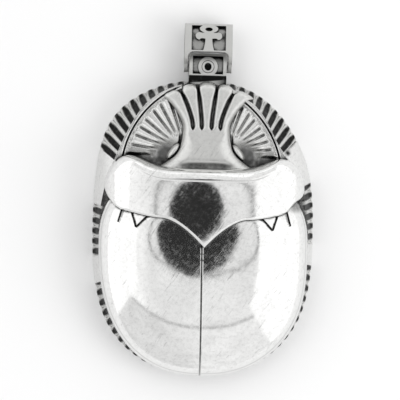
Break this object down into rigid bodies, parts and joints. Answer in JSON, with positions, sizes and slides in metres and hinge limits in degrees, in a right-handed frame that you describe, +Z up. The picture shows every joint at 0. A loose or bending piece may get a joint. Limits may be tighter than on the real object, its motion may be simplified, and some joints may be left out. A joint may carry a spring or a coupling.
{
  "type": "scarab amulet pendant",
  "caption": "Scarab beetle amulet in polished, blackened silver, with a domed back, fan-shaped head, ribbed forelegs and fluted rim, hung from a loose strap bail with an ankh.",
  "frame": {"origin": "middle of the scarab's flat back, on the surface that the amulet lies on", "axes": "+X to the beetle's right, which is to the right as it is seen from above with its head up, +Y towards the head and the bail, +Z up out of the domed wing cases"},
  "size_m": [0.0368, 0.0583, 0.0116],
  "materials": {
    "oxidised_silver": "polished silver with black oxide left in the recesses"
  },
  "bodies": {
    "amulet": {"scarab_body": "oxidised_silver"},
    "bail": {"bail": "oxidised_silver"}
  },
  "joints": [
    {"name": "bail_swing", "type": "hinge", "parent": "amulet", "child": "bail", "pos_m": [0, 0.0267, 0.003], "axis": [1, 0, 0], "range_deg": [-70, 80]}
  ]
}
